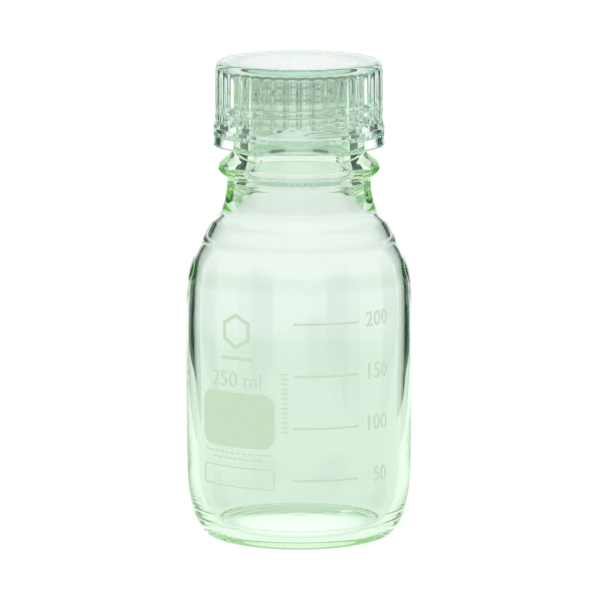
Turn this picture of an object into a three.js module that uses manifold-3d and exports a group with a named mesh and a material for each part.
// A 250 ml laboratory reagent bottle with its clear screw cap.
//
// Millimetres, +Z up. The bottle stands on z = 0 with its axis on Z, and the enamel
// scale on its front faces -Y. Angles round the bottle are measured from the front,
// positive towards +X.

import * as THREE from 'three';
import { ParametricGeometry } from 'three/addons/geometries/ParametricGeometry.js';
import { mergeVertices } from 'three/addons/utils/BufferGeometryUtils.js';
import Module from 'manifold-3d';

const wasm = await Module();
wasm.setup();

// ---------------------------------------------------------------- driving dimensions

const BODY_RADIUS = 35;
const HEEL_RADIUS = 34.75; // the body widens a little from the heel to mid height
const HEEL_HEIGHT = 22;
const HEEL_REACH = 7.75; // how far the heel's curve comes in from the wall
const WALL_INNER_RADIUS = 32.5;
const HEEL_INNER_RADIUS = 31.4; // the wall is thicker where it meets the heel
const STRAIGHT_BOTTOM = 55; // height at which the wall reaches its full radius
const SHOULDER_BOTTOM = 72;
const NECK_RADIUS = 22.3;
const NECK_HEIGHT = 111.3;
const BEAD_RADIUS = 25.03;
const BEAD_HEIGHT = 115.1;
const FINISH_RADIUS = 20.4; // the threaded part of the neck, without its thread
const RIM_HEIGHT = 145;
const RIM_OUTER_FILLET = 1.4;
const RIM_INNER_FILLET = 1;
const MOUTH_RADIUS = 15.4;
const MOUTH_BORE_BOTTOM = 118; // the bore is straight down to here
const PUNT_HEIGHT = 2.2;
const PUNT_SHOULDER = 9; // how far in from the contact ring the punt's curve steepens
const CONTACT_INNER_RADIUS = 24;
const FLOOR_RADIUS = 24;
const FLOOR_EDGE_HEIGHT = 3.2;
const FLOOR_MIDDLE_HEIGHT = 4.8;

const THREAD_PITCH = 4;
const THREAD_ROOT_HALF = 1.1;
const THREAD_CREST_HALF = 0.55;
const THREAD_RUN_OUT = 0.12; // turns over which a thread dies out at each end
const THREAD_BURY = 0.3; // how deep a thread's foot sits in its wall
const GLASS_THREAD_CREST = 22.3;
const GLASS_THREAD_START = 127.8;
const GLASS_THREAD_TURNS = 2.875;
const CAP_THREAD_CREST = 21.2;
const CAP_THREAD_START = 130.2; // sits just under the glass thread, as in a tightened cap
const CAP_THREAD_TURNS = 1.625;

const CAP_BOTTOM = 122.2;
const CAP_TOP = 148.2;
const CAP_FLANGE_RADIUS = 26.68;
const CAP_FLANGE_CHAMFER = 0.3;
const CAP_FLANGE_TOP = 128.3;
const CAP_WALL_BOTTOM = 130; // the wall starts here, above the flange's sloping step
const CAP_WALL_RADIUS = 25.95; // over the ribs, at the foot of the wall
const CAP_TOP_RADIUS = 25.7; // over the ribs, at the top: the wall has a slight draft
const CAP_TOP_FILLET = 1.6;
const CAP_BORE_RADIUS = 23.1;
const CAP_SKIRT_RADIUS = 24.3; // the bore is wider below the thread
const CAP_SKIRT_TOP = 125.2;
const CAP_SKIRT_TAPER = 1.2; // height of the slope from the skirt in to the bore
const CAP_PLATE_BOTTOM = 146.3;
const CAP_BORE_CHAMFER = 0.5;
const RIB_COUNT = 42;
const RIB_DEPTH = 0.5;
const RIB_CREST_SHARE = 0.22; // share of the rib pitch that the crest takes
const RIB_FOOT_SHARE = 0.44;
const RIB_OVERSHOOT = 0.2; // trimmed off again by the cap's envelope

const LINER_RADIUS = 22.4;
const LINER_BOTTOM = 145.1;
const LINER_TOP = 146.2;
const LINER_CHAMFER = 0.25;

const ENAMEL_GAP = 0.05;
const ENAMEL_THICKNESS = 0.12;
const ENAMEL_BOTTOM = 20;
const ENAMEL_TOP = 74;
const PANEL = { width: 25.8, height: 17, corner: 3.8, angle: -34.2, z: 41 };
const LINE = { width: 20.4, height: 0.6, corner: 0.25, angle: 14 };
const VOLUMES = [50, 100, 150, 200];
const FIRST_LINE_HEIGHT = 23.05;
const LINE_SPACING = 16.2; // height that 50 ml takes in the straight body

const BODY_SEGMENTS = 48;
const CAP_SEGMENTS = 2 * RIB_COUNT;
const ARC_STEPS = 4; // steps along each round stretch of an outline
const SPLINE_STEPS_PER_POINT = 1.2;
const MERGE_DISTANCE = 1e-4;

// ------------------------------------------------------------------------- materials

const clearGlass = new THREE.MeshStandardMaterial({
  color: 0xd5ecdc, roughness: 0.03, metalness: 0, transparent: true, opacity: 0.4,
});
const clearPlastic = new THREE.MeshStandardMaterial({
  color: 0xd2e8d7, roughness: 0.12, metalness: 0, transparent: true, opacity: 0.5,
});
const paleLiner = new THREE.MeshStandardMaterial({
  color: 0xe6f2ea, roughness: 0.45, metalness: 0,
});
const paleEnamel = new THREE.MeshStandardMaterial({
  color: 0xc8e1c1, roughness: 0.6, metalness: 0,
});

// --------------------------------------------------------------------------- helpers

const degrees = THREE.MathUtils.degToRad;

// A closed geometry as a solid that can be joined and cut.
function toSolid(geometry) {
  const bare = geometry.clone();
  bare.deleteAttribute('normal');
  bare.deleteAttribute('uv');
  const merged = mergeVertices(bare, MERGE_DISTANCE);
  const corners = merged.index.array;
  const triVerts = [];
  for (let i = 0; i < corners.length; i += 3) {
    const [a, b, c] = corners.slice(i, i + 3);
    if (a !== b && b !== c && c !== a) triVerts.push(a, b, c);
  }
  return new wasm.Manifold(new wasm.Mesh({
    numProp: 3,
    vertProperties: merged.attributes.position.array,
    triVerts: new Uint32Array(triVerts),
  }));
}

function toMesh(name, solid, material) {
  const { vertProperties, triVerts } = solid.getMesh();
  const geometry = new THREE.BufferGeometry();
  geometry.setAttribute('position', new THREE.BufferAttribute(vertProperties, 3));
  geometry.setIndex(new THREE.BufferAttribute(triVerts, 1));
  geometry.computeVertexNormals();
  const mesh = new THREE.Mesh(geometry, material);
  mesh.name = name;
  return mesh;
}

// A solid turned about Z. The outline's x is the radius and its y the height; it
// climbs on the outside and comes down on the inside.
function turned(outline, segments) {
  const geometry = new THREE.LatheGeometry(outline, segments);
  geometry.rotateX(Math.PI / 2);
  return toSolid(geometry);
}

const points = (pairs) => pairs.map(([r, z]) => new THREE.Vector2(r, z));

// The points of an outline: a straight run keeps only its ends.
function sampled(path) {
  return path.curves.flatMap((curve) => {
    if (curve.isLineCurve) return curve.getPoints(1);
    if (curve.isSplineCurve) return curve.getPoints(Math.round(SPLINE_STEPS_PER_POINT * curve.points.length));
    return curve.getPoints(ARC_STEPS);
  });
}

// A helical ridge of trapezium section that dies out into its wall at both ends.
function threadRidge({ wallRadius, crestRadius, startZ, turns }) {
  const side = Math.sign(crestRadius - wallRadius);
  const footRadius = wallRadius - side * THREAD_BURY;
  const section = [
    [footRadius, -side * THREAD_ROOT_HALF],
    [crestRadius, -side * THREAD_CREST_HALF],
    [crestRadius, side * THREAD_CREST_HALF],
    [footRadius, side * THREAD_ROOT_HALF],
  ];
  const surface = (u, v, target) => {
    const turn = u * turns;
    const fade = Math.max(0, Math.min(1, turn / THREAD_RUN_OUT, (turns - turn) / THREAD_RUN_OUT));
    const [radius, offset] = section[Math.round(v * section.length) % section.length];
    const r = footRadius + (radius - footRadius) * fade;
    const angle = 2 * Math.PI * turn;
    target.set(r * Math.sin(angle), -r * Math.cos(angle), startZ + THREAD_PITCH * turn + offset * fade);
  };
  return toSolid(new ParametricGeometry(surface, turns * BODY_SEGMENTS, section.length));
}

// ---------------------------------------------------------------------- glass bottle

// From the middle of the punt, under the base, up the outside to the rim.
function bottleOutside() {
  const path = new THREE.Path();
  path.moveTo(0, PUNT_HEIGHT);
  path.quadraticCurveTo(CONTACT_INNER_RADIUS - PUNT_SHOULDER, PUNT_HEIGHT, CONTACT_INNER_RADIUS, 0);
  path.lineTo(HEEL_RADIUS - HEEL_REACH, 0);
  path.absellipse(HEEL_RADIUS - HEEL_REACH, HEEL_HEIGHT, HEEL_REACH, HEEL_HEIGHT, -Math.PI / 2, 0);
  path.lineTo(BODY_RADIUS, STRAIGHT_BOTTOM);
  path.lineTo(BODY_RADIUS, SHOULDER_BOTTOM);
  path.splineThru(points([
    [34.5, 81.3], [32.1, 88.5], [30.1, 92.3], [29.2, 95], [28.2, 97.3], [27, 99.1],
    [25, 101], [23.4, 103.6], [22.5, 108.2], [NECK_RADIUS, NECK_HEIGHT],
  ]));
  path.splineThru(points([
    [24.3, 113.8], [BEAD_RADIUS, BEAD_HEIGHT], [24.4, 116.5], [22.8, 117.9],
    [FINISH_RADIUS + 0.5, 119.8], [FINISH_RADIUS, 120.6],
  ]));
  const fillet = RIM_OUTER_FILLET;
  path.lineTo(FINISH_RADIUS, RIM_HEIGHT - fillet);
  path.absarc(FINISH_RADIUS - fillet, RIM_HEIGHT - fillet, fillet, 0, Math.PI / 2);
  return path;
}

// From the rim down the inside to the middle of the floor.
function bottleInside() {
  const path = new THREE.Path();
  const fillet = RIM_INNER_FILLET;
  path.moveTo(MOUTH_RADIUS + fillet, RIM_HEIGHT);
  path.absarc(MOUTH_RADIUS + fillet, RIM_HEIGHT - fillet, fillet, Math.PI / 2, Math.PI);
  path.lineTo(MOUTH_RADIUS, MOUTH_BORE_BOTTOM);
  path.splineThru(points([
    [16, 111], [17.5, 106], [19.4, 102.6], [22, 99.4], [25.1, 96.5], [26.2, 92.6],
    [28.5, 88.6], [31.3, 83.9], [32.3, 80], [WALL_INNER_RADIUS, 76],
  ]));
  path.lineTo(WALL_INNER_RADIUS, STRAIGHT_BOTTOM);
  path.lineTo(HEEL_INNER_RADIUS, HEEL_HEIGHT);
  const reach = HEEL_INNER_RADIUS - FLOOR_RADIUS;
  path.absellipse(FLOOR_RADIUS, HEEL_HEIGHT, reach, HEEL_HEIGHT - FLOOR_EDGE_HEIGHT, 0, -Math.PI / 2, true);
  path.quadraticCurveTo(FLOOR_RADIUS / 2, FLOOR_MIDDLE_HEIGHT, 0, FLOOR_MIDDLE_HEIGHT);
  return path;
}

function glassBottle() {
  const outline = [...sampled(bottleOutside()), ...sampled(bottleInside())];
  const thread = threadRidge({
    wallRadius: FINISH_RADIUS,
    crestRadius: GLASS_THREAD_CREST,
    startZ: GLASS_THREAD_START,
    turns: GLASS_THREAD_TURNS,
  });
  return toMesh('glass_bottle', turned(outline, BODY_SEGMENTS).add(thread), clearGlass);
}

// ------------------------------------------------------------------------- screw cap

// The cap's wall seen from above: a circle with a raised rib at every step.
function ribbedOutline() {
  const step = 360 / RIB_COUNT;
  const outline = new THREE.Shape();
  for (let rib = 0; rib < RIB_COUNT; rib += 1) {
    const corners = [
      [-RIB_FOOT_SHARE / 2, CAP_WALL_RADIUS - RIB_DEPTH],
      [-RIB_CREST_SHARE / 2, CAP_WALL_RADIUS + RIB_OVERSHOOT],
      [RIB_CREST_SHARE / 2, CAP_WALL_RADIUS + RIB_OVERSHOOT],
      [RIB_FOOT_SHARE / 2, CAP_WALL_RADIUS - RIB_DEPTH],
    ];
    for (const [share, radius] of corners) {
      const angle = degrees((rib + share) * step);
      const method = rib === 0 && share === -RIB_FOOT_SHARE / 2 ? 'moveTo' : 'lineTo';
      outline[method](radius * Math.sin(angle), -radius * Math.cos(angle));
    }
  }
  return outline;
}

function ribbedWall() {
  const depth = CAP_TOP - CAP_FLANGE_TOP;
  const geometry = new THREE.ExtrudeGeometry(ribbedOutline(), { depth, bevelEnabled: false });
  geometry.translate(0, 0, CAP_FLANGE_TOP);
  return toSolid(geometry);
}

// The drafted wall and the rounded top edge, which the ribs are trimmed to.
function capEnvelope() {
  const path = new THREE.Path();
  path.moveTo(0, CAP_BOTTOM);
  path.lineTo(CAP_WALL_RADIUS, CAP_BOTTOM);
  path.lineTo(CAP_WALL_RADIUS, CAP_WALL_BOTTOM);
  path.lineTo(CAP_TOP_RADIUS, CAP_TOP - CAP_TOP_FILLET);
  path.absarc(CAP_TOP_RADIUS - CAP_TOP_FILLET, CAP_TOP - CAP_TOP_FILLET, CAP_TOP_FILLET, 0, Math.PI / 2);
  path.lineTo(0, CAP_TOP);
  return turned(sampled(path), CAP_SEGMENTS);
}

function capFlange() {
  const innerRadius = CAP_BORE_RADIUS;
  return turned(points([
    [innerRadius, CAP_BOTTOM],
    [CAP_FLANGE_RADIUS - CAP_FLANGE_CHAMFER, CAP_BOTTOM],
    [CAP_FLANGE_RADIUS, CAP_BOTTOM + CAP_FLANGE_CHAMFER],
    [CAP_FLANGE_RADIUS, CAP_FLANGE_TOP],
    [CAP_WALL_RADIUS - RIB_DEPTH, CAP_WALL_BOTTOM],
    [innerRadius, CAP_WALL_BOTTOM],
    [innerRadius, CAP_BOTTOM],
  ]), CAP_SEGMENTS);
}

function capBore() {
  return turned(points([
    [0, CAP_BOTTOM - 1],
    [CAP_SKIRT_RADIUS, CAP_BOTTOM - 1],
    [CAP_SKIRT_RADIUS, CAP_SKIRT_TOP],
    [CAP_BORE_RADIUS, CAP_SKIRT_TOP + CAP_SKIRT_TAPER],
    [CAP_BORE_RADIUS, CAP_PLATE_BOTTOM - CAP_BORE_CHAMFER],
    [CAP_BORE_RADIUS - CAP_BORE_CHAMFER, CAP_PLATE_BOTTOM],
    [0, CAP_PLATE_BOTTOM],
  ]), BODY_SEGMENTS);
}

function screwCap() {
  const thread = threadRidge({
    wallRadius: CAP_BORE_RADIUS,
    crestRadius: CAP_THREAD_CREST,
    startZ: CAP_THREAD_START,
    turns: CAP_THREAD_TURNS,
  });
  const shell = ribbedWall().intersect(capEnvelope()).add(capFlange()).subtract(capBore());
  return toMesh('screw_cap', shell.add(thread), clearPlastic);
}

function sealLiner() {
  const disc = turned(points([
    [0, LINER_BOTTOM],
    [LINER_RADIUS - LINER_CHAMFER, LINER_BOTTOM],
    [LINER_RADIUS, LINER_BOTTOM + LINER_CHAMFER],
    [LINER_RADIUS, LINER_TOP - LINER_CHAMFER],
    [LINER_RADIUS - LINER_CHAMFER, LINER_TOP],
    [0, LINER_TOP],
  ]), BODY_SEGMENTS);
  return toMesh('seal_liner', disc, paleLiner);
}

// ------------------------------------------------------------------------ enamel print

// A thin sleeve just outside the body's wall, from which every printed mark is cut.
function enamelSleeve() {
  const wall = [
    [HEEL_RADIUS, ENAMEL_BOTTOM], [HEEL_RADIUS, HEEL_HEIGHT],
    [BODY_RADIUS, STRAIGHT_BOTTOM], [BODY_RADIUS, ENAMEL_TOP],
  ];
  const inner = wall.map(([r, z]) => [r + ENAMEL_GAP, z]);
  const outer = wall.map(([r, z]) => [r + ENAMEL_GAP + ENAMEL_THICKNESS, z]);
  return turned(points([...outer, ...inner.reverse(), outer[0]]), BODY_SEGMENTS);
}

function roundedRectangle(width, height, corner) {
  const [x, y] = [width / 2, height / 2];
  const shape = new THREE.Shape();
  shape.moveTo(-x + corner, -y);
  shape.lineTo(x - corner, -y);
  shape.absarc(x - corner, -y + corner, corner, -Math.PI / 2, 0);
  shape.lineTo(x, y - corner);
  shape.absarc(x - corner, y - corner, corner, 0, Math.PI / 2);
  shape.lineTo(-x + corner, y);
  shape.absarc(-x + corner, y - corner, corner, Math.PI / 2, Math.PI);
  shape.lineTo(-x, -y + corner);
  shape.absarc(-x + corner, -y + corner, corner, Math.PI, 1.5 * Math.PI);
  return shape;
}

function enamelMark(name, { width, height, corner, angle, z }) {
  const outline = roundedRectangle(width, height, corner);
  const geometry = new THREE.ExtrudeGeometry(outline, {
    depth: 2 * BODY_RADIUS, bevelEnabled: false, curveSegments: ARC_STEPS,
  });
  geometry.rotateX(Math.PI / 2);
  geometry.rotateZ(degrees(angle));
  geometry.translate(0, 0, z);
  return toMesh(name, enamelSleeve().intersect(toSolid(geometry)), paleEnamel);
}

// --------------------------------------------------------------------------- assembly

const reagentBottle = new THREE.Group();
reagentBottle.add(glassBottle(), screwCap(), sealLiner());
reagentBottle.add(enamelMark('writing_panel', PANEL));
VOLUMES.forEach((volume, index) => {
  const z = FIRST_LINE_HEIGHT + index * LINE_SPACING;
  reagentBottle.add(enamelMark(`graduation_${volume}`, { ...LINE, z }));
});

export default reagentBottle;
